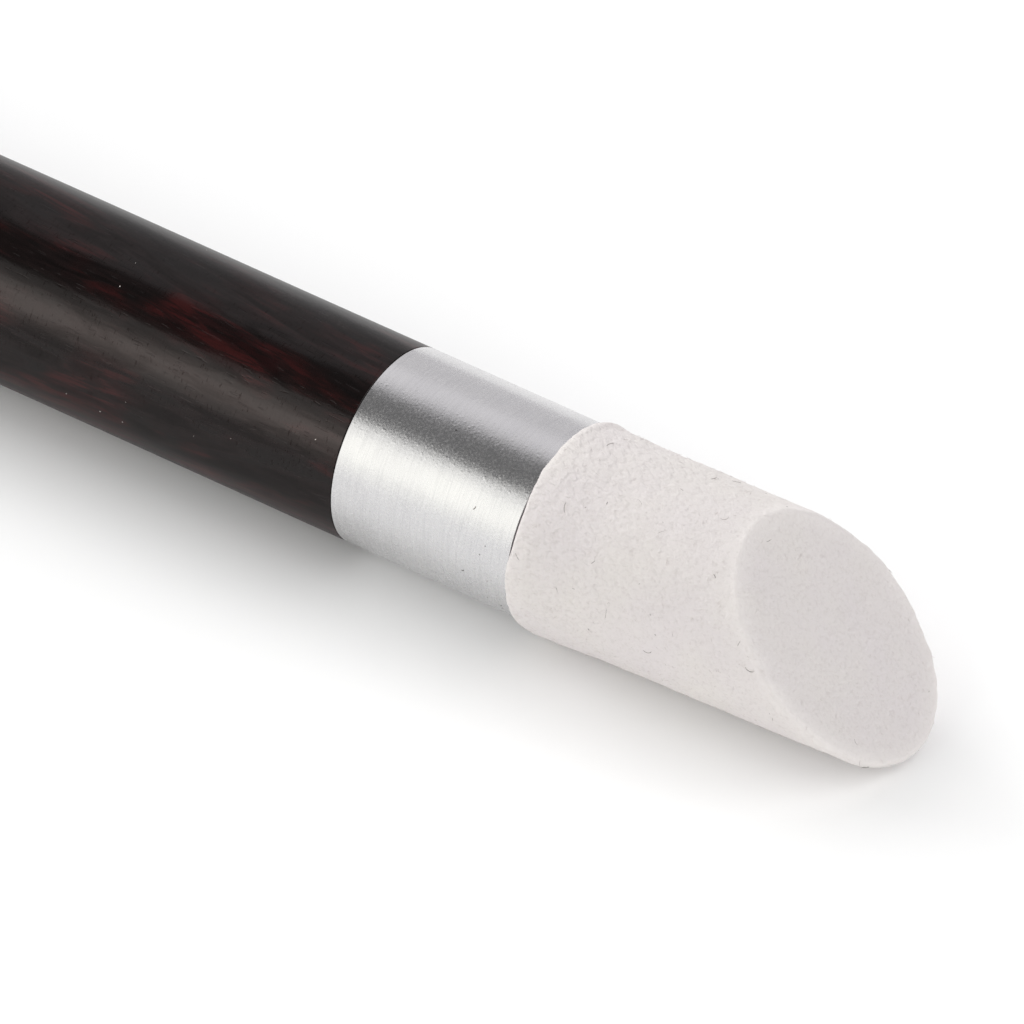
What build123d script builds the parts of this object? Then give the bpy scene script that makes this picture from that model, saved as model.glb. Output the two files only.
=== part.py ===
from build123d import *
import math
import os

# A drawing stump: a turned hardwood handle, a thin aluminium ferrule and a soft nib cut at a slant.
# Millimetres. +X runs along the tool from the butt to the tip, and +Z is up. The tool lies on its
# side with the long side of the nib underneath and the slanted face looking up and forwards. The
# origin is on the surface it lies on, under the middle of its length.

# ---- driving dimensions ----
overall_length = 150.0
barrel_radius = 6.5  # the handle's and the ferrule's, which are flush
butt_rounding = 4.0  # fillet round the handle's far end
tenon_length = 6.4
shoulder_break = 0.12  # small chamfer on the handle's shoulder, at the joint

ferrule_length = 13.1
ferrule_wall = 0.4
ferrule_edge = 0.1  # chamfer on both outer edges of the tube

glue_line = 0.1  # thickness of every adhesive film
glue_setback = 0.5  # bare length at the open end of each film

nib_length = 25.7  # from the ferrule's mouth to the tip
nib_proud = 0.23  # how far the nib's body stands out past the ferrule's surface
bulge_proud = 0.36  # and how far it does where it swells over the ferrule's mouth
bulge_rounding = 0.55  # radius of the rounded edge beside the mouth
bulge_length = 6.0  # how far in front of the mouth the swelling has died away
face_angle = 47.5  # between the slanted face and the tool's axis, in degrees
rim_rounding = 0.5  # softness of the edge round the slanted face

# ---- worked out from them ----
nib_radius = barrel_radius + nib_proud
bulge_radius = barrel_radius + bulge_proud
axis_height = bulge_radius  # the fattest ring of the nib rests on the surface
x_butt = -overall_length / 2
x_tip = overall_length / 2
x_mouth = x_tip - nib_length  # ferrule's front end
x_joint = x_mouth - ferrule_length  # ferrule's rear end, on the handle's shoulder
x_tenon = x_joint + tenon_length  # front end of the tenon
x_stem = x_tenon + glue_line  # rear end of the nib's stem
ferrule_bore = barrel_radius - ferrule_wall
core_radius = ferrule_bore - glue_line  # the tenon's radius and the stem's
# the rounding takes a little off the sharp corner at the tip, so the corner starts further out
cut_lean = math.radians(face_angle)
x_corner = x_tip + rim_rounding * (1 / math.tan(cut_lean / 2) - 1)

# side view with the tool's axis as the first axis and the radius as the second
side_view = Plane(origin=(0, 0, axis_height), x_dir=(1, 0, 0), z_dir=(0, -1, 0))
tool_axis = Axis((0, 0, axis_height), (1, 0, 0))


def section(x):
    """Plane across the tool at x, facing the tip."""
    return Plane(origin=(x, 0, axis_height), x_dir=(0, 1, 0), z_dir=(1, 0, 0))


os.makedirs("parts", exist_ok=True)

# ---- handle: barrel with a rounded butt, and the tenon that goes into the ferrule ----
with BuildPart() as handle:
    with BuildSketch(section(x_butt)):
        Circle(barrel_radius)
    extrude(amount=x_joint - x_butt)
    butt_edge = handle.edges().filter_by(GeomType.CIRCLE).sort_by(Axis.X)[0]
    fillet(butt_edge, radius=butt_rounding)
    shoulder_edge = handle.edges().filter_by(GeomType.CIRCLE).sort_by(Axis.X)[-1]
    chamfer(shoulder_edge, length=shoulder_break)
    with BuildSketch(section(x_joint)):
        Circle(core_radius)
    extrude(amount=tenon_length)
handle.part.label = "handle"
export_step(handle.part, "parts/handle.step")

# ---- ferrule: thin drawn tube, flush with the handle ----
with BuildPart() as ferrule:
    with BuildSketch(section(x_joint)):
        Circle(barrel_radius)
        Circle(ferrule_bore, mode=Mode.SUBTRACT)
    extrude(amount=ferrule_length)
    outer_edges = ferrule.edges().filter_by(GeomType.CIRCLE).group_by(SortBy.RADIUS)[-1]
    chamfer(outer_edges, length=ferrule_edge)
ferrule.part.label = "ferrule"
export_step(ferrule.part, "parts/ferrule.step")

# ---- nib: stem in the ferrule, rounded swelling over its mouth, body, and the slanted cut ----
with BuildPart() as nib:
    with BuildSketch(side_view):
        with BuildLine():
            Polyline(
                (x_corner, 0), (x_stem, 0), (x_stem, core_radius), (x_mouth, core_radius),
                (x_mouth, bulge_radius - bulge_rounding),
            )
            edge_centre = (x_mouth + bulge_rounding, bulge_radius - bulge_rounding)
            edge = CenterArc(edge_centre, bulge_rounding, start_angle=180, arc_size=-90)
            swelling = Spline(
                edge @ 1, (x_mouth + bulge_length, nib_radius), tangents=((1, 0), (1, 0))
            )
            Polyline(swelling @ 1, (x_corner, nib_radius), (x_corner, 0))
        make_face()
    revolve(axis=tool_axis)
    # the cut passes through the corner at the bottom of the body and rises towards the handle
    slanted_face = Plane(
        origin=(x_corner, 0, axis_height - nib_radius),
        x_dir=(0, 1, 0),
        z_dir=(math.sin(cut_lean), 0, math.cos(cut_lean)),
    )
    split(bisect_by=slanted_face, keep=Keep.BOTTOM)
    cut_normal = Axis(slanted_face.origin, slanted_face.z_dir)
    rim = nib.faces().sort_by(cut_normal)[-1].edges()
    fillet(rim, radius=rim_rounding)
nib.part.label = "nib"
export_step(nib.part, "parts/nib.step")

# ---- adhesive between the tenon and the ferrule: a plain sleeve ----
with BuildPart() as handle_glue:
    with BuildSketch(section(x_joint + glue_setback)):
        Circle(ferrule_bore)
        Circle(core_radius, mode=Mode.SUBTRACT)
    extrude(amount=tenon_length - glue_setback)
handle_glue.part.label = "handle_glue"
export_step(handle_glue.part, "parts/handle_glue.step")

# ---- adhesive round the nib's stem and behind it: a shallow cup against the tenon's end ----
with BuildPart() as nib_glue:
    with BuildSketch(section(x_tenon)):
        Circle(ferrule_bore)
    extrude(amount=x_mouth - glue_setback - x_tenon)
    with BuildSketch(section(x_stem)):
        Circle(core_radius)
    extrude(amount=x_mouth - x_stem, mode=Mode.SUBTRACT)
nib_glue.part.label = "nib_glue"
export_step(nib_glue.part, "parts/nib_glue.step")
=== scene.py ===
"""A drawing stump with a soft slant-cut nib: its surfaces, finishes and studio.

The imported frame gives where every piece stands. This script replaces the frame's plain handle,
ferrule and nib with finer surfaces in the same places, dresses every piece, and sets a plain
studio round them. +X runs along the tool to its tip and +Z is up. Lengths are in metres.
"""

import logging
import math
from dataclasses import dataclass, field
from enum import Enum

import bpy
import numpy as np
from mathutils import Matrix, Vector

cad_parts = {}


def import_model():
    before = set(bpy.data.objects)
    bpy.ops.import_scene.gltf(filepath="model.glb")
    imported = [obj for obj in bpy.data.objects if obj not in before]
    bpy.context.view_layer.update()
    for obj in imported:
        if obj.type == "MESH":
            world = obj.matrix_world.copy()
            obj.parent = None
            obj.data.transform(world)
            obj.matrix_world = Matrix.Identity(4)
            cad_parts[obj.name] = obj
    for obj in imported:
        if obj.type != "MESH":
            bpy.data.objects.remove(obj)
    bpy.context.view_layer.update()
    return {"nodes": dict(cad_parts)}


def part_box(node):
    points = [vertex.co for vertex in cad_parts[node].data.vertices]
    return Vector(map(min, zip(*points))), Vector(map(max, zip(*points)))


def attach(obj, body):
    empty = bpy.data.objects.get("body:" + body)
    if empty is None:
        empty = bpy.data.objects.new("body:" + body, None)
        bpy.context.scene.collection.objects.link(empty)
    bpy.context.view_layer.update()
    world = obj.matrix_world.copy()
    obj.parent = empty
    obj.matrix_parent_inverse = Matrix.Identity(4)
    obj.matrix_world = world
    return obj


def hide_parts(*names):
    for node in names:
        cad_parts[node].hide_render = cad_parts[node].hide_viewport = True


MM = 0.001
PER_MM = 1.0 / MM
BODY = "root"
# the felt's painted highlight along the rim follows this attribute
RIM = "rim"  # the nib's attribute that is one along its rim
CONTACT_GAP = 0.01 * MM  # air left between two pieces that touch

Triple = tuple[float, float, float]

log = logging.getLogger("stump")


# -------------------- arrays and meshes


def linear(colour: str) -> tuple[float, float, float, float]:
    """Turns an sRGB hex colour into the linear one that shaders use.

    Args:
        colour: Six hex digits after a hash, such as "#d8d4d0".

    Returns:
        Linear red, green and blue, and an alpha of one.
    """
    parts = np.array([int(colour[i : i + 2], 16) for i in (1, 3, 5)]) / 255.0
    bent = np.where(parts <= 0.04045, parts / 12.92, ((parts + 0.055) / 1.055) ** 2.4)
    return (*map(float, bent), 1.0)


def waves(
    points: np.ndarray, wavelength: float, seed: int, stretch: Triple = (1, 1, 1), count: int = 40
) -> np.ndarray:
    """A smooth random field: the sum of plane cosine waves, all of about one wavelength.

    Each wave has a random direction and phase, and a length within a third of the one asked for.
    The sum is divided by the root of half their number, so the field's usual size is one.

    Args:
        points: Points, with x, y and z last.
        wavelength: The waves' typical length.
        seed: Makes the field the same at every run.
        stretch: How many times longer the pattern is along x, y and z.
        count: How many waves are added up.

    Returns:
        The field at each point.
    """
    rng = np.random.default_rng(seed)
    directions = unit(rng.normal(size=(count, 3)))
    lengths = wavelength * rng.uniform(0.67, 1.5, count)
    k = 2 * np.pi * directions / lengths[:, None] / np.array(stretch, float)
    phases = rng.uniform(0, 2 * np.pi, count)
    total = np.zeros(points.shape[:-1])
    for vector, phase in zip(k, phases):
        total += np.cos(points @ vector + phase)
    return total / math.sqrt(count / 2)


def smooth_step(value: np.ndarray, low: float, high: float) -> np.ndarray:
    """Zero below low, one above high, and the cubic 3t^2 - 2t^3 between them."""
    t = np.clip((value - low) / (high - low), 0.0, 1.0)
    return t * t * (3.0 - 2.0 * t)


def turns(count: int) -> np.ndarray:
    """Evenly spaced angles round the tool, in radians."""
    return np.linspace(0, 2 * np.pi, count, endpoint=False)


def unit(vectors: np.ndarray) -> np.ndarray:
    """Vectors, with x, y and z last, brought to a length of one. One without a length stays."""
    return vectors / np.maximum(np.linalg.norm(vectors, axis=-1, keepdims=True), 1e-15)


def no_points() -> np.ndarray:
    """An empty grid, for a piece that isn't built yet."""
    return np.zeros((0, 0, 3))


def grid_normals(grid: np.ndarray) -> np.ndarray:
    """Unit normals of a grid that closes round its second side.

    The normal is the cross product of the central differences along the two sides of the grid.

    Args:
        grid: Points as rows by columns by three.

    Returns:
        Normals of the same shape, pointing away from the tool's axis where rows run along +X.
    """
    along = np.gradient(grid, axis=0)
    around = np.roll(grid, -1, axis=1) - np.roll(grid, 1, axis=1)
    return unit(np.cross(around, along))


def ring_quads(rows: int, columns: int, closed: bool = False) -> np.ndarray:
    """Quads that join each ring of points to the next.

    Args:
        rows: The number of rings.
        columns: The number of points round each.
        closed: Whether the last ring is joined to the first.

    Returns:
        The quads' corners, one row each.
    """
    here = np.arange(columns)
    following = np.roll(here, -1)
    start = np.arange(rows)[:, None] * columns
    after = np.roll(start, -1, axis=0)
    quads = np.stack([start + here, start + following, after + following, after + here], 2)
    return quads[: rows if closed else rows - 1].reshape(-1, 4)


def closed_mesh(name: str, grid: np.ndarray) -> bpy.types.Object:
    """Makes a closed object from rings of points, with a pole at each end.

    Quads join each ring to the next and a fan of triangles joins each end ring to the mean of its
    points.

    Args:
        name: The object's name.
        grid: Rings by points round the ring by three.

    Returns:
        The new object, at the origin, with smooth shading.
    """
    rows, columns = grid.shape[:2]
    points = np.vstack([grid.reshape(-1, 3), grid[0].mean(0), grid[-1].mean(0)])
    here = np.arange(columns)
    following = np.roll(here, -1)
    first, end = rows * columns, (rows - 1) * columns
    caps = [
        np.stack([np.full(columns, first), following, here], 1),
        np.stack([np.full(columns, first + 1), end + here, end + following], 1),
    ]
    return face_mesh(name, points, [ring_quads(rows, columns), *caps])


def face_mesh(name: str, points: np.ndarray, groups: list[np.ndarray]) -> bpy.types.Object:
    """Makes an object from points and face arrays, with its faces turned outwards.

    The volume is a sixth of the sum, over triangles from each face's first corner, of the corners'
    triple product. It is negative when the faces point inwards, and then they are turned round.

    Args:
        name: The object's name.
        points: The points, one row each.
        groups: Face arrays, each with the same number of corners in every row.

    Returns:
        The new object, at the origin, with smooth shading.
    """
    volume = sum(
        float(np.einsum("ij,ij->", points[g[:, 0]], np.cross(points[g[:, i]], points[g[:, i + 1]])))
        for g in groups
        for i in range(1, g.shape[1] - 1)
    )
    if volume < 0:
        groups = [g[:, ::-1] for g in groups]
    sizes = np.concatenate([np.full(len(g), g.shape[1]) for g in groups])
    corners = np.concatenate([g.ravel() for g in groups]).astype(np.int32)
    mesh = bpy.data.meshes.new(name)
    mesh.vertices.add(len(points))
    mesh.vertices.foreach_set("co", points.astype(np.float32).ravel())
    mesh.loops.add(len(corners))
    mesh.loops.foreach_set("vertex_index", corners)
    mesh.polygons.add(len(sizes))
    mesh.polygons.foreach_set("loop_start", (np.cumsum(sizes) - sizes).astype(np.int32))
    mesh.polygons.foreach_set("use_smooth", np.ones(len(sizes), bool))
    mesh.update(calc_edges=True)
    mesh.validate()
    return placed(name, mesh)


def placed(name: str, data: bpy.types.ID) -> bpy.types.Object:
    """Puts an object into the scene.

    Args:
        name: The object's name.
        data: What it holds.

    Returns:
        The new object, at the origin.
    """
    made = bpy.data.objects.new(name, data)
    bpy.context.scene.collection.objects.link(made)
    return made


def aimed(name: str, data: bpy.types.ID, place: Vector, heading: Vector) -> bpy.types.Object:
    """Puts a lamp or camera into the scene.

    Args:
        name: The object's name.
        data: What it holds.
        place: Where it stands.
        heading: The way that it looks.

    Returns:
        The new object.
    """
    made = placed(name, data)
    made.location = place
    made.rotation_mode = "QUATERNION"
    made.rotation_quaternion = heading.to_track_quat("-Z", "Y")
    return made


# -------------------- where the pieces stand


@dataclass(frozen=True)
class ToolSizes:
    """The frame's stations along the tool and its radii."""

    butt: float
    joint: float
    tenon_end: float
    stem_end: float
    mouth: float
    tip: float
    height: float
    barrel_radius: float
    bore_radius: float
    core_radius: float
    bulge_radius: float

    @classmethod
    def from_frame(cls) -> "ToolSizes":
        """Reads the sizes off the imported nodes' boxes.

        Returns:
            The sizes.
        """
        handle_low, handle_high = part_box("handle")
        ferrule_low, ferrule_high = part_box("ferrule")
        nib_low, nib_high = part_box("nib")
        glue_low, glue_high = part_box("handle_glue")
        bore = (glue_high.y - glue_low.y) / 2
        return cls(
            butt=handle_low.x,
            joint=ferrule_low.x,
            tenon_end=handle_high.x,
            stem_end=nib_low.x,
            mouth=ferrule_high.x,
            tip=nib_high.x,
            height=(ferrule_low.z + ferrule_high.z) / 2,
            barrel_radius=(ferrule_high.y - ferrule_low.y) / 2,
            bore_radius=bore,
            core_radius=bore - (nib_low.x - handle_high.x),
            bulge_radius=(nib_high.y - nib_low.y) / 2,
        )

    def ring(self, x: np.ndarray, radius: np.ndarray, angle: np.ndarray) -> np.ndarray:
        """Points at a radius from the tool's axis.

        y is minus the radius times the sine of the angle, and z is the axis's height plus the
        radius times its cosine, so the angle runs from the top towards the front.

        Args:
            x: Place along the tool.
            radius: Distance from its axis.
            angle: Angle from the top, in radians.

        Returns:
            The points, with x, y and z last.
        """
        x, radius, angle = np.broadcast_arrays(x, radius, angle)
        return np.stack(
            [x, -radius * np.sin(angle), self.height + radius * np.cos(angle)], axis=-1
        )


def profile(*stretches: tuple[np.ndarray, np.ndarray]) -> tuple[np.ndarray, np.ndarray]:
    """Joins stretches of a turned profile and drops doubled points.

    Args:
        *stretches: Places along the tool and radii.

    Returns:
        The whole profile's places and radii.
    """
    x, radius = (np.concatenate([s[i] for s in stretches]) for i in (0, 1))
    fresh = np.append(True, np.hypot(np.diff(x), np.diff(radius)) > 1e-8)
    return x[fresh], radius[fresh]


def line(start: tuple[float, float], end: tuple[float, float], steps: int) -> tuple:
    """A straight stretch of profile, as evenly spaced places and radii."""
    return np.linspace(start[0], end[0], steps), np.linspace(start[1], end[1], steps)


def arc(centre: tuple[float, float], radius: float, start: float, end: float, steps: int) -> tuple:
    """A round stretch of profile about a centre, between two angles in degrees from +X."""
    angle = np.radians(np.linspace(start, end, steps))
    return centre[0] + radius * np.cos(angle), centre[1] + radius * np.sin(angle)


# -------------------- finishes


class Kind(Enum):
    """The nodes that finishes are made of: type, inputs in order, output used, and settings."""

    OUTPUT = ("OutputMaterial", ("Surface",), None, {})
    SHADER = ("BsdfPrincipled", (), 0, {})
    OWN_PLACE = ("TexCoord", (), "Object", {})
    TURN = ("Mapping", ("Vector", "Scale", "Rotation"), 0, {})
    ALONG = ("SeparateXYZ", (0,), 0, {})
    STORED = ("Attribute", (), "Fac", {})
    FACING = ("LayerWeight", ("Blend",), "Facing", {})
    CLOUD = ("TexNoise", ("Vector",), 0, {"Scale": 1.0})
    CELL = ("TexVoronoi", ("Vector",), "Distance", {"Scale": 1.0})
    RAMP = ("ValToRGB", (0,), 0, {})
    MIX = ("Mix", (0, 6, 7), 2, {"data_type": "RGBA"})
    TIMES = ("Math", (0, 1), 0, {"operation": "MULTIPLY"})
    PLUS = ("Math", (0, 1), 0, {"operation": "ADD"})
    MINUS = ("Math", (0, 1), 0, {"operation": "SUBTRACT"})
    OVER = ("Math", (0, 1), 0, {"operation": "DIVIDE"})
    BELOW = ("Math", (0, 1), 0, {"operation": "LESS_THAN"})
    ABOVE = ("Math", (0, 1), 0, {"operation": "GREATER_THAN"})
    BUMP = ("Bump", ("Height", "Distance", "Normal"), 0, {"Strength": 1.0})


class Recipe:
    """A material while its nodes are put together, with its shader already on its output."""

    def __init__(self, name: str) -> None:
        """Starts the material.

        Args:
            name: The material's name.
        """
        self.material = bpy.data.materials.new(name)
        self.material.use_nodes = True
        self.tree = self.material.node_tree
        self.tree.nodes.clear()
        shader = self.add(Kind.SHADER)
        self.shader = shader.node
        self.add(Kind.OUTPUT, shader)

    def add(
        self, kind: Kind, *values: object, stops: tuple = (), **settings: object
    ) -> bpy.types.NodeSocket | None:
        """Adds one node with its values, links and settings.

        Args:
            kind: What the node is.
            *values: What goes into its inputs, in the kind's order: sockets, values or hex colours.
            stops: A ramp's places, with hex colours or linear grey levels.
            **settings: The node's own properties, and values of other inputs by name.

        Returns:
            The socket of the kind's output, if it has one.
        """
        name, keys, output, usual = kind.value
        node = self.tree.nodes.new("ShaderNode" + name)
        for key, value in {**usual, **settings}.items():
            if key in node.inputs:
                node.inputs[key].default_value = value
            else:
                setattr(node, key, value)
        self.feed(node, dict(zip(keys, values)))
        while stops and len(node.color_ramp.elements) < len(stops):
            node.color_ramp.elements.new(0.5)
        for i, (at, colour) in enumerate(stops):
            element = node.color_ramp.elements[i]
            element.position = at
            element.color = linear(colour) if isinstance(colour, str) else (colour,) * 3 + (1.0,)
        return None if output is None else node.outputs[output]

    def feed(self, node: bpy.types.Node, inputs: dict) -> None:
        """Links a node's inputs or sets them.

        Args:
            node: The node.
            inputs: Sockets, values or hex colours, under the inputs' names or numbers.
        """
        for key, value in inputs.items():
            if isinstance(value, bpy.types.NodeSocket):
                self.tree.links.new(value, node.inputs[key])
            else:
                node.inputs[key].default_value = linear(value) if isinstance(value, str) else value

    def done(self, **inputs: object) -> bpy.types.Material:
        """Feeds the shader and ends.

        Args:
            **inputs: What goes into it, by its inputs' names with underscores for spaces.

        Returns:
            The material.
        """
        self.feed(self.shader, {key.replace("_", " "): value for key, value in inputs.items()})
        return self.material

    def place(self, cells: Triple, turn: Triple = (0, 0, 0)) -> bpy.types.NodeSocket:
        """The piece's own coordinates, turned and then scaled.

        Args:
            cells: Pattern cells for each millimetre along x, y and z.
            turn: Turns about x, y and z, in degrees, that lay the pattern askew.

        Returns:
            The socket with the coordinates.
        """
        angles = tuple(math.radians(a) for a in turn)
        turned = self.add(Kind.TURN, self.add(Kind.OWN_PLACE), (PER_MM,) * 3, angles)
        return self.add(Kind.TURN, turned, cells)

    def clouds(
        self, cells: Triple, turn: Triple = (0, 0, 0), **settings: float
    ) -> bpy.types.NodeSocket:
        """A cloudy random pattern over the piece.

        Args:
            cells: Pattern cells for each millimetre along x, y and z.
            turn: Turns that lay it askew, in degrees.
            **settings: The pattern's own values, such as Detail and Roughness.

        Returns:
            Its value, from 0 to 1.
        """
        return self.add(Kind.CLOUD, self.place(cells, turn), **settings)

    def specks(self, cells: Triple, size: float, share: float) -> bpy.types.NodeSocket:
        """Marks the middles of some of the cells of a pattern.

        Args:
            cells: Pattern cells for each millimetre along x, y and z.
            size: Radius of a mark, as a share of a cell.
            share: The share of the cells that have one.

        Returns:
            One inside the marks and zero outside.
        """
        distance = self.add(Kind.CELL, self.place(cells))
        near = self.add(Kind.BELOW, distance, size)
        chosen = self.add(Kind.ABOVE, distance.node.outputs["Color"], 1.0 - share)
        return self.add(Kind.TIMES, near, chosen)


def per_mm(*size_mm: float) -> Triple:
    """Cells for each millimetre, from a cell's size along the tool and its size across it."""
    return 1 / size_mm[0], 1 / size_mm[-1], 1 / size_mm[-1]


@dataclass(frozen=True)
class LacqueredRosewood:
    """Dark rosewood, turned, sanded round the tool and lacquered.

    The eye sees near-black wood with deep red flames and patches, fine marks across the grain
    where a light is reflected, open pores, and a few specks of dust under a soft gloss. The gloss
    is satin: it weakens where the surface is seen at a slant.
    """

    black: str = "#080505"
    brown: str = "#120b0b"
    red: str = "#25090a"
    ember: str = "#2f0e0e"
    sheen: str = "#d89484"  # light turned back by the fibres under the lacquer
    dust: str = "#cfcac6"
    flame_mm: tuple[float, float] = (9.0, 1.1)  # length and width of a flame of colour
    patch_mm: tuple[float, float] = (11.0, 4.0)
    grain_mm: tuple[float, float] = (6.0, 0.22)
    grain_lean: float = 6.0  # degrees between the grain and the tool's axis
    mark_mm: tuple[float, float] = (0.15, 0.55)  # finer in life: as coarse as it must be to show
    pore_mm: tuple[float, float] = (1.5, 0.14)
    peel_mm: tuple[float, float] = (2.4, 0.55)
    swell_cells: Triple = (0.12, 0.3, 0.3)  # for each millimetre
    dust_cells: Triple = (1.1, 1.1, 1.1)
    patch_strength: float = 0.42
    lacquer_ior: float = 1.35
    lacquer_roughness: float = 0.16

    def make(self) -> bpy.types.Material:
        """Builds the material.

        Returns:
            The material.
        """
        r = Recipe("lacquered_rosewood")
        lean = (0, self.grain_lean * 0.6, self.grain_lean)
        flames = r.clouds(per_mm(*self.flame_mm), lean, Detail=4, Roughness=0.55, Distortion=0.9)
        patches = r.clouds(per_mm(*self.patch_mm), lean, Detail=3, Roughness=0.6)
        grain = r.clouds(per_mm(*self.grain_mm), lean, Detail=2)
        pores = r.clouds(per_mm(*self.pore_mm), lean, Detail=0)
        open_pores = r.add(Kind.RAMP, pores, stops=((0.20, 0.0), (0.27, 1.0)))
        marks = r.clouds(per_mm(*self.mark_mm), Detail=2, Roughness=0.6)
        ticks = r.add(Kind.RAMP, marks, stops=((0.29, 0.55), (0.38, 0.95), (0.70, 1.0)))
        peel = r.clouds(per_mm(*self.peel_mm), lean, Detail=2)
        swell = r.clouds(self.swell_cells, Detail=1)

        bands = ((0.38, self.black), (0.50, self.brown), (0.62, self.black))
        wood = r.add(Kind.RAMP, flames, stops=bands)
        in_patch = r.add(Kind.RAMP, patches, stops=((0.49, 0.0), (0.62, 1.0)))
        wood = r.add(Kind.MIX, r.add(Kind.TIMES, in_patch, self.patch_strength), wood, self.red)
        flame = r.add(Kind.RAMP, flames, stops=((0.50, 0.0), (0.57, 1.0)))
        glow = r.add(Kind.RAMP, patches, stops=((0.46, 0.0), (0.60, 0.85)))
        wood = r.add(Kind.MIX, r.add(Kind.TIMES, flame, glow), wood, self.ember)
        dark_grain = r.add(Kind.RAMP, grain, stops=((0.40, 0.6), (0.52, 0.0)))
        wood = r.add(Kind.MIX, dark_grain, wood, self.black)
        wood = r.add(Kind.MIX, r.specks(self.dust_cells, 0.042, 0.2), wood, self.dust)

        lacquer = r.add(Kind.BUMP, swell, 0.06 * MM)
        for height, depth_mm in ((peel, 0.011), (ticks, 0.005), (open_pores, 0.005)):
            lacquer = r.add(Kind.BUMP, height, depth_mm * MM, lacquer)
        fade = ((0.10, 1.0), (0.50, 0.42), (0.72, 0.32), (0.86, 0.12))
        satin = r.add(Kind.RAMP, r.add(Kind.FACING, 0.5), stops=fade)
        sunk = r.add(Kind.RAMP, flames, stops=((0.40, 0.78), (0.56, 1.0)))
        coat = r.add(Kind.TIMES, r.add(Kind.TIMES, ticks, sunk), satin)
        return r.done(
            Base_Color=wood, Roughness=0.3, Specular_IOR_Level=0.05, Specular_Tint=self.sheen,
            Coat_Weight=coat, Coat_Roughness=self.lacquer_roughness, Coat_IOR=self.lacquer_ior,
            Coat_Normal=lacquer,
        )


@dataclass(frozen=True)
class SandedAluminium:
    """Drawn aluminium tube, finished with fine paper as it turned.

    The eye sees a satin metal whose reflections have soft edges, with very fine marks round the
    tube, a grainy skin that shows in its dark reflections, and a few dark pits.
    """

    metal: str = "#d5d4d4"
    # a wear tone on the metal, mixed in by the broad wash
    wear_tone_and_rim_highlight: str = "#cdccce"
    dull: str = "#bdbcbe"
    pit: str = "#4a4543"
    bright: str = "#e6e5e4"
    mark_mm: tuple[float, float] = (0.13, 2.6)  # finer in life: as coarse as it must be to show
    mottle_mm: float = 0.13
    grain_mm: float = 0.34
    wash_mm: float = 3.5
    pit_cells: Triple = (0.55, 0.9, 0.9)  # for each millimetre
    smoothest: float = 0.178

    def make(self) -> bpy.types.Material:
        """Builds the material.

        Returns:
            The material.
        """
        r = Recipe("sanded_aluminium")
        marks = r.clouds(per_mm(*self.mark_mm), Detail=3, Roughness=0.65)
        mottle = r.clouds(per_mm(self.mottle_mm), Detail=2, Roughness=0.55)
        wash = r.clouds(per_mm(self.wash_mm), Detail=2)
        cells = r.add(Kind.CELL, r.place(per_mm(self.grain_mm)))
        grains = r.add(Kind.RAMP, cells, stops=((0.08, 1.0), (0.34, 0.0)))
        colour = r.add(Kind.MIX, wash, self.metal, self.wear_tone_and_rim_highlight)
        for source, stops, tone in (
            (marks, ((0.35, 0.35), (0.55, 0.0)), self.dull),
            (mottle, ((0.55, 0.0), (0.68, 0.3)), self.bright),
            (mottle, ((0.32, 0.25), (0.45, 0.0)), self.dull),
        ):
            colour = r.add(Kind.MIX, r.add(Kind.RAMP, source, stops=stops), colour, tone)
        colour = r.add(Kind.MIX, r.specks(self.pit_cells, 0.05, 0.25), colour, self.pit)
        rough = r.add(Kind.PLUS, r.add(Kind.TIMES, wash, 0.08), self.smoothest)
        scattered = r.add(Kind.RAMP, mottle, stops=((0.42, 0.0), (0.72, 0.13)))
        skin = r.add(Kind.BUMP, wash, 0.02 * MM)
        for height, depth_mm in ((marks, 0.0035), (mottle, 0.005), (grains, 0.0035)):
            skin = r.add(Kind.BUMP, height, depth_mm * MM, skin)
        rough = r.add(Kind.PLUS, rough, scattered)
        return r.done(Base_Color=colour, Metallic=1.0, Roughness=rough, Normal=skin)


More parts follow.
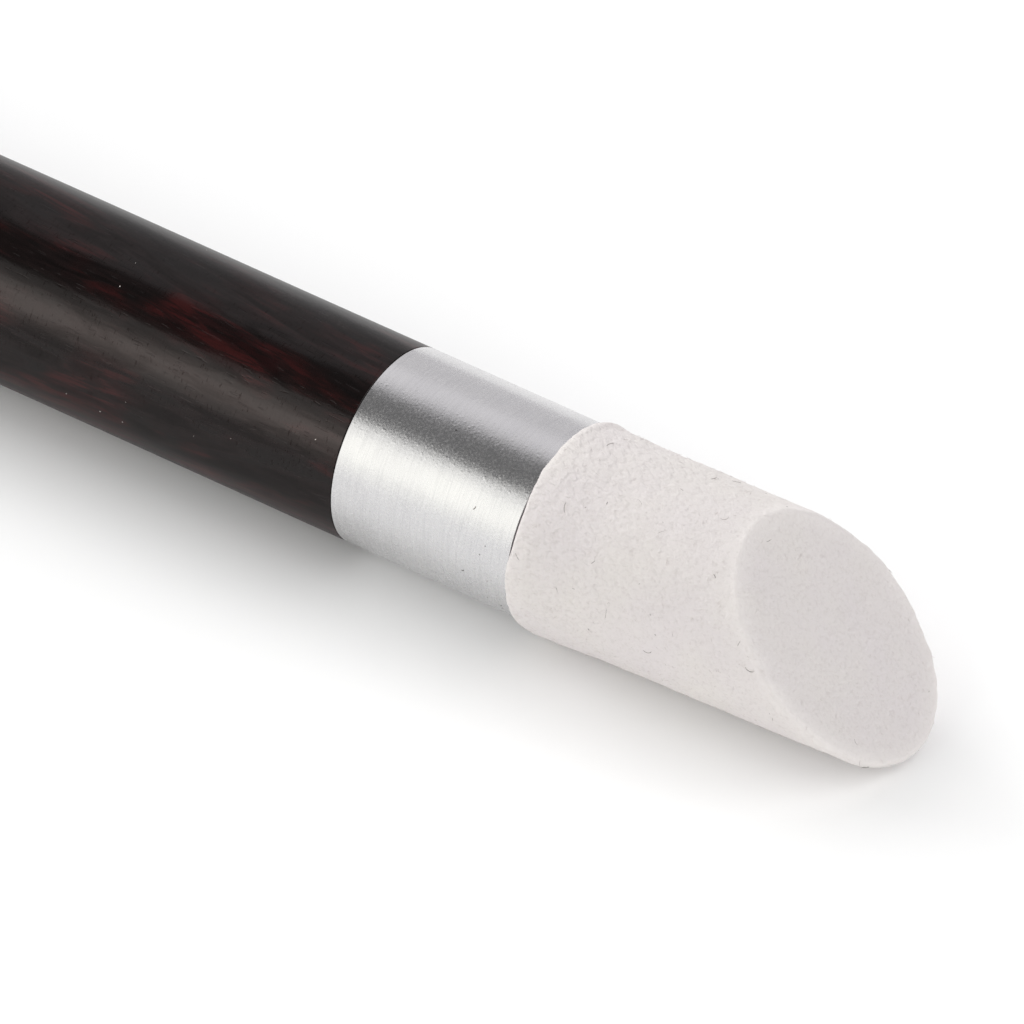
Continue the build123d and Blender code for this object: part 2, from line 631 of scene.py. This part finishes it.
@dataclass(frozen=True)
class PressedFelt:
    """Bleached fibre felt, pressed to a cylinder and cut with a blade.

    The eye sees a matte off-white skin with shallow long dimples, deepest by the ferrule, and a
    fine matted nap all over. Its colour holds painted shade in the matted skin's hollows and a
    painted highlight along the rim.
    """

    warm: str = "#dfdad7"
    cool: str = "#ddd7d7"
    # painted shade: the darker felt colour laid into the hollows of the matted skin
    shade: str = "#cbc4c2"
    # painted highlight: the paler colour laid along the nib's rim
    rim: str = "#ebe6e4"
    dimple_mm: tuple[float, float] = (0.75, 0.32)
    nap_mm: tuple[float, float] = (0.5, 0.16)  # fibres are finer: as coarse as it must be to show
    mat_mm: float = 0.26
    cloud_cells: Triple = (0.16, 0.16, 0.16)  # for each millimetre
    dimpled_from_mm: float = 49.0  # place along the tool where the dimples are deepest
    dimpled_for_mm: float = 13.0
    rim_highlight_strength: float = 0.55

    def make(self) -> bpy.types.Material:
        """Builds the material.

        Returns:
            The material.
        """
        r = Recipe("pressed_felt")
        dimples = r.clouds(per_mm(*self.dimple_mm), (25, 15, 35), Detail=1, Roughness=0.4)
        nap = r.clouds(per_mm(*self.nap_mm), (20, 25, 30), Detail=3, Roughness=0.6)
        mat = r.clouds(per_mm(self.mat_mm), Detail=3, Roughness=0.65)
        clouds = r.clouds(self.cloud_cells, Detail=2)
        past = r.add(Kind.MINUS, r.add(Kind.ALONG, r.place((1, 1, 1))), self.dimpled_from_mm)
        past = r.add(Kind.OVER, past, self.dimpled_for_mm)
        near = r.add(Kind.RAMP, past, stops=((0.15, 1.0), (0.9, 0.22)))
        hollows = r.add(Kind.RAMP, dimples, stops=((0.34, 0.0), (0.58, 1.0)))

        share = r.add(Kind.RAMP, clouds, stops=((0.35, 0.0), (0.65, 1.0)))
        colour = r.add(Kind.MIX, share, self.warm, self.cool)
        # painted shade: the colour darkens where the matted skin's bump is low, in its hollows
        shaded = r.add(Kind.RAMP, mat, stops=((0.30, 0.45), (0.50, 0.0)))
        colour = r.add(Kind.MIX, shaded, colour, self.shade)
        # painted highlight: the rim is made paler, by the nib's rim attribute
        rim = r.add(Kind.TIMES, r.add(Kind.STORED, attribute_name=RIM), self.rim_highlight_strength)
        colour = r.add(Kind.MIX, rim, colour, self.rim)
        skin = r.add(Kind.BUMP, r.add(Kind.TIMES, hollows, near), 0.045 * MM)
        skin = r.add(Kind.BUMP, mat, 0.055 * MM, skin)
        skin = r.add(Kind.BUMP, nap, 0.02 * MM, skin)
        return r.done(
            Base_Color=colour, Normal=skin, Roughness=0.95, Specular_IOR_Level=0.12,
            Sheen_Weight=0.1, Sheen_Roughness=0.6,
        )


@dataclass(frozen=True)
class LooseFibre:
    """Separate fibres: dull, and slightly uneven in tone from one to the next."""

    name: str
    dark: str
    pale: str

    def make(self) -> bpy.types.Material:
        """Builds the material.

        Returns:
            The material.
        """
        r = Recipe(self.name)
        tone = r.clouds((0.9, 0.9, 0.9), Detail=1)
        colour = r.add(Kind.RAMP, tone, stops=((0.38, self.dark), (0.62, self.pale)))
        return r.done(Base_Color=colour, Roughness=0.9)


@dataclass(frozen=True)
class SetEpoxy:
    """Cured epoxy: a thin amber film with small bubbles and a low gloss."""

    amber: str = "#c9b27a"
    cloudy: str = "#e0d6b8"

    def make(self) -> bpy.types.Material:
        """Builds the material.

        Returns:
            The material.
        """
        r = Recipe("set_epoxy")
        colour = r.add(Kind.MIX, r.clouds((0.6, 0.6, 0.6), Detail=3), self.amber, self.cloudy)
        cells = r.add(Kind.CELL, r.place((2.2, 2.2, 2.2)))
        bubbles = r.add(Kind.RAMP, cells, stops=((0.0, 0.0), (0.25, 1.0)))
        skin = r.add(Kind.BUMP, bubbles, 0.02 * MM)
        return r.done(Base_Color=colour, Normal=skin, Roughness=0.3)


@dataclass(frozen=True)
class PaleCard:
    """The studio's floor: smooth white card, matte."""

    white: str = "#fafafa"

    def make(self) -> bpy.types.Material:
        """Builds the material."""
        return Recipe("pale_card").done(
            Base_Color=self.white, Roughness=0.9, Specular_IOR_Level=0.1
        )


# -------------------- pieces


@dataclass
class Piece:
    """A piece that stands for frame nodes and is given its finish as it settles."""

    sizes: ToolSizes
    name: str = ""
    slot: str = ""
    stands_for: tuple[str, ...] = ()

    def settle(self, made: bpy.types.Object, material: bpy.types.Material) -> bpy.types.Object:
        """Dresses a finished object and lets it ride on the tool.

        Args:
            made: The object, with its place in its mesh.
            material: Its finish.

        Returns:
            The same object.
        """
        made.data.materials.append(material)
        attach(made, BODY)
        if self.stands_for:
            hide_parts(*self.stands_for)
        log.info("%s: %d faces", made.name, len(made.data.polygons))
        return made


@dataclass
class Handle(Piece):
    """The turned handle: domed butt, parallel barrel, broken shoulder and tenon."""

    name: str = "rosewood_handle"
    slot: str = "handle_wood"
    stands_for: tuple[str, ...] = ("handle",)
    butt_rounding: float = 4.0 * MM
    shoulder_break: float = 0.06 * MM
    turning_error: float = 0.006 * MM  # how far the barrel is from a true cylinder
    error_length: float = 14 * MM
    around: int = 192

    def build(self) -> bpy.types.Object:
        """Turns the profile round the tool's axis and adds the lathe's small unevenness.

        Returns:
            The handle.
        """
        s = self.sizes
        rounding, top, core = self.butt_rounding, s.barrel_radius, s.core_radius
        corner, shoulder = s.joint - self.shoulder_break, s.joint - CONTACT_GAP
        x, radius = profile(
            line((s.butt, 0.05 * top), (s.butt, top - rounding), 8),
            arc((s.butt + rounding, top - rounding), rounding, 180, 90, 24),
            line((s.butt + rounding + MM, top), (s.joint - MM, top), 118),
            line((s.joint - 0.5 * MM, top), (corner - 0.02 * MM, top), 3),
            line((corner, top), (shoulder, top - self.shoulder_break), 3),
            line((shoulder, top - 1.4 * self.shoulder_break), (shoulder, core), 4),
            line((s.joint, core), (s.tenon_end, core), 12),
            line((s.tenon_end, 0.9 * core), (s.tenon_end, 0.05 * top), 6),
        )
        x, radius, angle = x[:, None], radius[:, None], turns(self.around)
        barrel = smooth_step(x, s.butt, s.butt + 3 * rounding) * (x < s.joint - MM)
        error = waves(s.ring(x, radius, angle), self.error_length, seed=11, stretch=(2, 1, 1))
        grid = s.ring(x, radius - self.turning_error * (1 + error * barrel), angle)
        return self.settle(closed_mesh(self.name, grid), LacqueredRosewood().make())


@dataclass
class Ferrule(Piece):
    """The thin drawn tube, with a broken edge at each end and faint dents."""

    name: str = "aluminium_ferrule"
    slot: str = "ferrule_aluminium"
    stands_for: tuple[str, ...] = ("ferrule",)
    skin: np.ndarray = field(default_factory=no_points)
    edge: float = 0.035 * MM
    dent: float = 0.004 * MM
    dent_length: float = 4.5 * MM
    around: int = 224

    def build(self) -> bpy.types.Object:
        """Turns the tube's section, outside, mouth, bore and rear edge, into a closed ring.

        Returns:
            The ferrule. Its outside is kept in skin.
        """
        s = self.sizes
        outside, bore, edge = s.barrel_radius, s.bore_radius, self.edge
        rear, front = s.joint + CONTACT_GAP, s.mouth - CONTACT_GAP
        x, radius = profile(
            arc((rear + edge, outside - edge), edge, 180, 90, 6),
            line((rear + 1.5 * edge, outside), (rear + 8 * edge, outside), 3),
            line((rear + 16 * edge, outside), (front - 16 * edge, outside), 80),
            line((front - 8 * edge, outside), (front - 1.5 * edge, outside), 3),
            arc((front - edge, outside - edge), edge, 90, 0, 6),
            line((front, bore + edge), (front, bore), 2),
            line((front - edge, bore), (rear + edge, bore), 16),
            line((rear, bore), (rear, bore + edge), 2),
        )
        x, radius, angle = x[:, None], radius[:, None], turns(self.around)
        skin = radius > (outside + bore) / 2
        dents = waves(s.ring(x, radius, angle), self.dent_length, seed=5) * self.dent * skin
        grid = s.ring(x, radius + dents, angle)
        self.skin = grid[skin[:, 0]]
        quads = ring_quads(*grid.shape[:2], closed=True)
        made = face_mesh(self.name, grid.reshape(-1, 3), [quads])
        return self.settle(made, SandedAluminium().make())

    def by_the_mouth(self, reach: float) -> np.ndarray:
        """How likely a speck is at each point of the skin: only near the mouth, low at the front.

        Args:
            reach: How far from the mouth they lie.

        Returns:
            The chances.
        """
        s, last = self.sizes, self.sizes.mouth - 0.3 * MM
        x, y, z = np.moveaxis(self.skin, -1, 0)
        near = smooth_step(x, s.mouth - reach, last) * (x < last)
        return near * (y < -0.7 * s.barrel_radius) * (z > 0.4 * s.height)


@dataclass
class Nib(Piece):
    """The soft nib: stem, lip over the ferrule's mouth, body, rounded rim and slanted face."""

    name: str = "felt_nib"
    slot: str = "nib_felt"
    stands_for: tuple[str, ...] = ("nib",)
    grid: np.ndarray = field(default_factory=no_points)
    groove_width: float = 0.11 * MM  # where the lip has drawn back from the ferrule's mouth
    groove_turn: float = math.radians(57.0)
    groove_spread: float = math.radians(19.0)
    waist: float = 0.13 * MM  # how much thinner the body is than the swelling at the mouth
    waist_length: float = 6.0 * MM
    taper: float = 0.0075  # how fast the body thins past the middle of the waist, as a slope
    lip_height: float = 0.04 * MM  # clearance between the lip and the ferrule's skin
    lip_rounding: float = 0.55 * MM
    lip_lap_mm: float = 0.06  # how far the lip reaches back over the ferrule
    lip_tatters_mm: tuple[tuple[float, float], ...] = ((0.02, 1.2), (0.014, 0.35))  # depth, length
    face_lean: float = math.radians(47.5)  # between the face and the tool's axis
    rim_rounding: float = 0.45 * MM
    bend: float = 0.0216  # the body's lean off the tool's axis, as a slope
    bend_turn: float = math.radians(-46.3)  # which way it leans, from the top towards the front
    seat_offset: float = 0.17 * MM  # how far the body stands towards the front of the tool's axis
    lumps_mm: tuple[tuple[float, float], ...] = ((0.026, 6.0), (0.008, 2.2), (0.006, 0.8))
    rim_lumps_mm: tuple[float, float] = (0.014, 0.9)  # height and length, as of the others
    on_the_face: float = 0.97  # least cosine between the face's normal and one that belongs to it
    around: int = 320
    body_rows: int = 150
    face_rows: int = 84
    rim_rows: int = 12
    fill: float = 0.95

    def body_radius(self, x: np.ndarray) -> np.ndarray:
        """The bulge's radius at the mouth, easing down by the waist a few millimetres on."""
        eased = smooth_step(x, self.sizes.mouth, self.sizes.mouth + self.waist_length)
        return self.sizes.bulge_radius - self.waist * eased

    def face_normal(self) -> np.ndarray:
        """The slanted face looks forwards and up."""
        return np.array([math.sin(self.face_lean), 0.0, math.cos(self.face_lean)])

    def corner(self) -> float:
        """Where the face would meet the body underneath if the rim were sharp."""
        return self.sizes.tip + self.rim_rounding * (1 / math.tan(self.face_lean / 2) - 1)

    def rim_centres(self, angle: np.ndarray) -> tuple[np.ndarray, np.ndarray]:
        """Centres of the ball that rolls round inside the rim.

        They lie one rounding inside the body and one inside the face. The face's plane is the
        corner's place less the height above the bottom over the tangent of the lean.

        Args:
            angle: Angles from the top.

        Returns:
            The centres' places along the tool and their radius.
        """
        end_radius = self.sizes.bulge_radius - self.waist
        radius = end_radius - self.rim_rounding
        height = end_radius + radius * np.cos(angle)
        plane = self.corner() - height / math.tan(self.face_lean)
        return plane - self.rim_rounding / math.sin(self.face_lean), np.full_like(angle, radius)

    def stem_and_lip(self, angle: np.ndarray) -> np.ndarray:
        """The stem's rings, then the lip's, which turn a quarter of the way over.

        The groove is the exponential of minus the fourth power of the turn from its middle. The
        lip's edge is uneven by two fields of waves.

        Args:
            angle: Angles from the top.

        Returns:
            The rings' points.
        """
        s = self.sizes
        edge = s.ring(s.mouth, s.bulge_radius, angle)
        bare = np.exp(-(((angle - self.groove_turn) / self.groove_spread) ** 4))
        groove = bare * self.groove_width
        lap = self.lip_lap_mm
        for seed, (deep, length) in enumerate(self.lip_tatters_mm, 3):
            lap = lap + deep * waves(edge, length * MM, seed=seed)
        overhang = MM * lap * (1 - bare)
        x, radius = profile(
            line((s.stem_end, 0.08 * s.core_radius), (s.stem_end, 0.9 * s.core_radius), 5),
            line((s.stem_end, s.core_radius), (s.mouth, s.core_radius), 10),
            line((s.mouth, s.core_radius + 0.1 * MM), (s.mouth, s.barrel_radius - 0.14 * MM), 4),
        )
        shoulder = smooth_step(radius, s.core_radius, s.core_radius + 0.1 * MM)[:, None]
        x = x[:, None] + groove * shoulder * (x[:, None] > s.mouth - CONTACT_GAP)
        turn = np.linspace(0, np.pi / 2, 14)[:, None]
        forward = (self.lip_rounding + overhang - groove) * (1 - np.cos(turn))
        low = s.barrel_radius + self.lip_height - 0.12 * MM * bare
        outwards = (s.bulge_radius - low) * np.sin(turn)
        lip = s.ring(s.mouth + groove - overhang + forward, low + outwards, angle)
        return np.concatenate([s.ring(x, radius[:, None], angle), lip])

    def surface(self) -> np.ndarray:
        """The nib before it is roughened, as rings from the stem's end to the face's middle.

        The body's rings go in even steps from the lip to the rolling ball's first touch. The rim's
        points are the ball's centre plus its radius times a direction that turns evenly from the
        body's normal to the face's. The face's rings shrink evenly to its middle.

        Returns:
            The grid of points.
        """
        s, angle = self.sizes, turns(self.around)
        centre_x, centre_r = self.rim_centres(angle)
        share = np.linspace(0, 1, self.body_rows + 1)[1:, None]
        start = s.mouth + self.lip_rounding
        body_x = start + (centre_x - start) * share
        body = s.ring(body_x, self.body_radius(body_x), angle)
        outward = s.ring(0 * angle, np.ones_like(angle), angle) - np.array([0, 0, s.height])
        rim = s.ring(centre_x, centre_r, angle) + self.rim_rounding * self.turned(outward)
        middle = rim[-1].mean(0)
        inward = np.linspace(0, 1, self.face_rows + 1)[1:-1, None, None]
        face = rim[-1] + (middle - rim[-1]) * inward
        return np.concatenate([self.stem_and_lip(angle), body, rim, face])

    def turned(self, outward: np.ndarray) -> np.ndarray:
        """Directions that turn evenly from each outward normal to the face's normal.

        Args:
            outward: The body's normals round the rim.

        Returns:
            Unit vectors as rows of the rim by points by three.
        """
        normal = self.face_normal()
        between = np.arccos(np.clip(outward @ normal, -1, 1))[None, :, None]
        share = (np.arange(1, self.rim_rows + 1) / self.rim_rows)[:, None, None]
        start, end = np.sin((1 - share) * between), np.sin(share * between)
        return (start * outward + end * normal) / np.sin(between)

    def rim_share(self, grid: np.ndarray) -> np.ndarray:
        """One along the rounded rim, fading to zero a few rows into the body and the face."""
        rows = np.arange(len(grid))[:, None] - (len(grid) - self.face_rows + 1 - self.rim_rows / 2)
        return np.exp(-((rows / self.rim_rows) ** 2)) + 0.0 * grid[..., 0]

    def roughened(self, grid: np.ndarray) -> np.ndarray:
        """Lumps and a matted skin, moved along the normals, and the body's taper and slight bend.

        Args:
            grid: The smooth nib.

        Returns:
            The uneven one, with its underside flat where it touches the surface it lies on.
        """
        s = self.sizes
        exposed = smooth_step(grid[..., 0], s.mouth + 0.2 * MM, s.mouth + 1.2 * MM)
        height = np.zeros(grid.shape[:2])
        for seed, (tall, length) in enumerate(self.lumps_mm, 21):
            height = height + tall * waves(grid, length * MM, seed=seed)
        tall, length = self.rim_lumps_mm
        height = height + tall * self.rim_share(grid) * waves(grid, length * MM, seed=24)
        grid = grid + grid_normals(grid) * (height * exposed * MM)[..., None]
        slimmed = np.maximum(grid[..., 0] - s.mouth - self.waist_length / 2, 0.0) * self.taper
        axis = np.array([0.0, s.height])
        grid[..., 1:] = axis + (grid[..., 1:] - axis) * (1 - slimmed / s.bulge_radius)[..., None]
        reach = np.maximum(grid[..., 0] - s.mouth, 0.0)
        sideways = np.array([0.0, -math.sin(self.bend_turn), math.cos(self.bend_turn)])
        grid = grid + (self.bend * reach)[..., None] * sideways
        grid[..., 1] -= self.seat_offset * smooth_step(grid[..., 0], s.mouth, s.mouth + 1.5 * MM)
        grid[..., 2] = np.maximum(grid[..., 2], 0.0)
        return grid

    def build(self) -> bpy.types.Object:
        """Builds the nib, with an attribute that is one along its rim.

        Returns:
            The nib. Its points are kept in grid.
        """
        self.grid = self.roughened(self.surface())
        made = self.settle(closed_mesh(self.name, self.grid), PressedFelt().make())
        # the rim share, stored for the felt's painted highlight along the rim
        wear_tone_and_rim_highlight = np.append(self.rim_share(self.grid).ravel(), [0.0, 0.0]).astype(np.float32)
        made.data.attributes.new(RIM, "FLOAT", "POINT").data.foreach_set("value", wear_tone_and_rim_highlight)
        return made

    def on_the_skin(self, body: float, face: float) -> np.ndarray:
        """How likely a fibre is at each point.

        Args:
            body: The chance on the round body.
            face: The chance on the slanted face.

        Returns:
            The chances, with none on the stem or by the pole of the face.
        """
        looks = grid_normals(self.grid) @ self.face_normal()
        chance = np.where(looks > self.on_the_face, face, body)
        chance[self.grid[..., 0] < self.sizes.mouth + 0.15 * MM] = 0.0
        chance[-3:] = 0.0
        return chance


@dataclass
class Fibres(Piece):
    """Many short fibres on a skin, as one mesh of thin bent tubes.

    Attributes:
        finish: The fibres' material.
        grid: The skin they lie on.
        where: How likely a fibre is at each of the skin's points, besides that point's area.
        count: How many there are.
        length_mm: The longest fibre. Most are much shorter.
        thick_mm: The thinnest and the thickest radius.
        curl: How far a fibre's heading turns from its middle to its end, in radians.
        lift: How steeply a fibre's far end rises from the skin, as a slope.
        seed: Makes the fibres the same at every run.
        sides: Sides of a tube.
        steps: Rings of points along it.
    """

    slot: str = "nib_felt"
    finish: LooseFibre = LooseFibre("", "", "")
    grid: np.ndarray = field(default_factory=no_points)
    where: np.ndarray = field(default_factory=no_points)
    count: int = 100
    length_mm: float = 1.0
    thick_mm: tuple[float, float] = (0.010, 0.022)
    curl: float = 0.7
    lift: float = 0.0
    seed: int = 1
    sides: int = 4
    steps: int = 7

    def paths(self, rng: np.random.Generator) -> tuple[np.ndarray, np.ndarray]:
        """The fibres' centre lines and the skin's normals under them.

        A line is an arc in the plane that touches the skin at its middle: its heading turns evenly
        along it. It rises from the skin by the lift times the square of its distance from its
        first end, over its length.

        Args:
            rng: The source of the random draws.

        Returns:
            Points as fibres by steps by three, and normals as fibres by three.
        """
        along = np.gradient(self.grid, axis=0)
        around = np.roll(self.grid, -1, axis=1) - self.grid
        chance = (np.linalg.norm(np.cross(along, around), axis=2) * self.where).ravel()
        pick = rng.choice(chance.size, self.count, p=chance / chance.sum())
        middle = self.grid.reshape(-1, 3)[pick]
        normal = grid_normals(self.grid).reshape(-1, 3)[pick]
        side = unit(np.cross(normal, rng.normal(size=(self.count, 3))))
        other = np.cross(normal, side)
        length = MM * self.length_mm * (0.12 + 0.88 * rng.uniform(0, 1, self.count) ** 2.2)
        heading = rng.normal(0, self.curl, self.count)[:, None] * np.linspace(-1, 1, self.steps)
        step = length[:, None] / (self.steps - 1)
        go = np.cumsum(np.stack([np.cos(heading), np.sin(heading)]) * step, axis=2)
        go_side, go_other = go - go.mean(2, keepdims=True)
        rise = self.lift * rng.uniform(0, 1, self.count)[:, None] * length[:, None]
        rise = rise * np.linspace(0, 1, self.steps) ** 2
        path = (
            middle[:, None]
            + go_side[..., None] * side[:, None]
            + go_other[..., None] * other[:, None]
            + rise[..., None] * normal[:, None]
        )
        return path, normal

    def build(self) -> bpy.types.Object:
        """Puts a tube round each line.

        Its radius is the fibre's times the root of 1.02 less the fourth power of the distance from
        the middle, so the ends are blunt. Nothing goes below the surface the tool lies on.

        Returns:
            All the fibres as one object.
        """
        rng = np.random.default_rng(self.seed)
        path, normal = self.paths(rng)
        thick = MM * rng.uniform(*self.thick_mm, self.count)
        along = unit(np.gradient(path, axis=1))
        beside = unit(np.cross(along, normal[:, None]))
        up = np.cross(beside, along)
        turn = turns(self.sides)[:, None]
        radius = thick[:, None] * np.sqrt(1.02 - np.linspace(-1, 1, self.steps) ** 4)
        ring = np.cos(turn) * up[:, :, None] + np.sin(turn) * beside[:, :, None]
        points = (path[:, :, None] + radius[..., None, None] * ring).reshape(-1, 3)
        points[:, 2] = np.maximum(points[:, 2], 0.0)
        here = np.arange(self.sides)
        offset = (np.arange(self.count) * self.steps * self.sides)[:, None]
        last = (self.steps - 1) * self.sides
        groups = [
            (ring_quads(self.steps, self.sides) + offset[:, :, None]).reshape(-1, 4),
            here[::-1] + offset,
            last + here + offset,
        ]
        return self.settle(face_mesh(self.name, points, groups), self.finish.make())


@dataclass
class Adhesive:
    """The two hidden films of glue, which stay as the frame has them."""

    nodes: tuple[str, ...] = ("handle_glue", "nib_glue")

    def build(self, shown: dict[str, bpy.types.Object]) -> None:
        """Gives both films their finish.

        Args:
            shown: The frame's nodes by name.
        """
        material = SetEpoxy().make()
        for name in self.nodes:
            mesh = shown[name].data
            mesh.materials.clear()
            mesh.materials.append(material)
            log.info("%s: %d faces", name, len(mesh.polygons))


# -------------------- studio


@dataclass(frozen=True)
class Softbox:
    """A large soft light, aimed at the tool.

    Attributes:
        name: The light's name.
        lean: Angle from straight up towards the front, in degrees.
        turn: Angle out of the upright plane across the tool, towards its tip, in degrees.
        distance: How far off it stands.
        width: Its size along the floor.
        height: Its size across that.
        brightness: Its radiance, where white card in full light is about one.
        tint: Its colour.
        only: The one object it falls on, as if it were flagged off the rest. Empty for all.
        mirrored: Whether it shows in reflections.
    """

    name: str
    lean: float
    turn: float
    distance: float
    width: float
    height: float
    brightness: float
    tint: str = "#ffffff"
    only: str = ""
    mirrored: bool = True

    def build(self, target: Vector) -> bpy.types.Object:
        """Makes the light. A flat lamp's power is its radiance times pi times its area.

        Args:
            target: The point that it is aimed at.

        Returns:
            The light.
        """
        lamp = bpy.data.lights.new(self.name, "AREA")
        lamp.shape = "RECTANGLE"
        lamp.size, lamp.size_y = self.width, self.height
        lamp.color = linear(self.tint)[:3]
        lamp.energy = self.brightness * math.pi * self.width * self.height
        lean, turn = math.radians(self.lean), math.radians(self.turn)
        away = (math.sin(turn), -math.cos(turn) * math.sin(lean), math.cos(turn) * math.cos(lean))
        place = target + self.distance * Vector(away)
        made = aimed(self.name, lamp, place, target - place)
        made.visible_camera = False
        made.visible_glossy = self.mirrored
        if self.only:
            lit = bpy.data.collections.new(self.name)
            lit.objects.link(bpy.data.objects[self.only])
            made.light_linking.receiver_collection = lit
        return made


@dataclass
class Studio:
    """A pale floor, soft lights round the tool, and the camera."""

    azimuth: float = 34.6
    elevation: float = 40.7
    view_width: float = 62.65 * MM
    camera_distance: float = 1.5
    sensor_width: float = 36.0
    clip: tuple[float, float] = (0.1, 20.0)
    behind_mouth: float = 3.75 * MM  # where the camera looks, along the tool's axis
    below_axis: float = 0.694 * MM  # and across the view
    floor_size: float = 30.0
    surroundings: float = 0.19
    softboxes: tuple[Softbox, ...] = (
        Softbox("front_softbox", 63, -22, 3, 3.2, 2.8, 1.10, "#fffffb"),
        Softbox("front_softbox_heart", 63, -25, 2.98, 2.4, 1.40, 0.27, "#fffff0"),
        Softbox("handle_strip", 68, -25, 2.96, 2.4, 1.70, 0.85, "#ffece6", "rosewood_handle"),
        Softbox("handle_strip_heart", 66, -25, 2.94, 2.4, 0.80, 1.0, "#ffece6", "rosewood_handle"),
        Softbox("low_front_softbox", 64, 48, 3.6, 3.6, 2.8, 0.98),
        Softbox("back_softbox", -53, -25, 3.2, 4, 4.48, 0.59, "#fefcff"),
        Softbox("back_softbox_heart", -33, -25, 3.16, 2.8, 1.12, 0.2, "#fefcff"),
        Softbox("butt_softbox", -12, -66, 3.6, 3, 3, 4.2, mirrored=False),
        Softbox("tip_softbox", -18, 42, 3.6, 3.6, 3.6, 1.75),
        Softbox("floor_wash", 50, 0, 3.4, 3.4, 3.4, 0.5, "#ffffff", "floor"),
    )

    def build(self, sizes: ToolSizes) -> None:
        """Sets floor, lights, surroundings and camera.

        The camera looks at a point on the axis behind the ferrule's mouth, moved a little across
        the view.

        Args:
            sizes: The tool's sizes.
        """
        across = Vector((1, 0, 0)).cross(self.back()).normalized()
        target = Vector((sizes.mouth - self.behind_mouth, 0, sizes.height))
        target += across * self.below_axis
        self.floor()
        for box in self.softboxes:
            box.build(target)
        world = bpy.data.worlds.new("surroundings")
        world.use_nodes = True
        grey = (self.surroundings,) * 3 + (1.0,)
        world.node_tree.nodes["Background"].inputs["Color"].default_value = grey
        bpy.context.scene.world = world
        bpy.context.scene.view_settings.view_transform = "Standard"
        self.camera(target)

    def back(self) -> Vector:
        """The direction from the tool to the camera."""
        a, e = math.radians(self.azimuth), math.radians(self.elevation)
        return Vector((math.sin(a) * math.cos(e), -math.cos(a) * math.cos(e), math.sin(e)))

    def floor(self) -> None:
        """A flat square of card under the tool."""
        half = self.floor_size / 2
        corners = [(-half, -half, 0), (half, -half, 0), (half, half, 0), (-half, half, 0)]
        mesh = bpy.data.meshes.new("floor")
        mesh.from_pydata(corners, [], [(0, 1, 2, 3)])
        mesh.materials.append(PaleCard().make())
        placed("floor", mesh)

    def camera(self, target: Vector) -> None:
        """A long lens, far off, so that near and far ends are drawn at almost one scale.

        Args:
            target: The point that it looks at.
        """
        lens = bpy.data.cameras.new("camera")
        lens.sensor_width = self.sensor_width
        lens.lens = self.sensor_width * self.camera_distance / self.view_width
        lens.clip_start, lens.clip_end = self.clip
        place = target + self.back() * self.camera_distance
        bpy.context.scene.camera = aimed("camera", lens, place, -self.back())


def main() -> None:
    """Builds the tool and its studio in order."""
    logging.basicConfig(level=logging.INFO, format="%(name)s %(message)s")
    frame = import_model()
    sizes = ToolSizes.from_frame()
    Handle(sizes).build()
    ferrule = Ferrule(sizes)
    ferrule.build()
    nib = Nib(sizes)
    nib.build()
    Fibres(
        sizes, name="felt_nap", finish=LooseFibre("felt_fibre", "#d6cfcd", "#e6e0de"),
        grid=nib.grid, where=nib.on_the_skin(1.0, 0.6), count=3200, length_mm=0.45,
        thick_mm=(0.006, 0.013), curl=0.9, lift=0.35, seed=71, sides=3, steps=5,
    ).build()
    Fibres(
        sizes, name="stray_fibres", finish=LooseFibre("stray_fibre", "#6b6461", "#b0a8a5"),
        grid=nib.grid, where=nib.on_the_skin(1.0, 0.28), count=105, length_mm=0.9,
        thick_mm=(0.007, 0.022), curl=0.6, seed=78,
    ).build()
    Fibres(
        sizes, name="ferrule_lint", finish=LooseFibre("soiled_fibre", "#2e2926", "#6b625d"),
        grid=ferrule.skin, where=ferrule.by_the_mouth(4.5 * MM), count=8, length_mm=0.5,
        thick_mm=(0.012, 0.035), curl=0.7, seed=5,
    ).build()
    Adhesive().build(frame["nodes"])
    Studio().build(sizes)


if __name__ == "__main__":
    main()
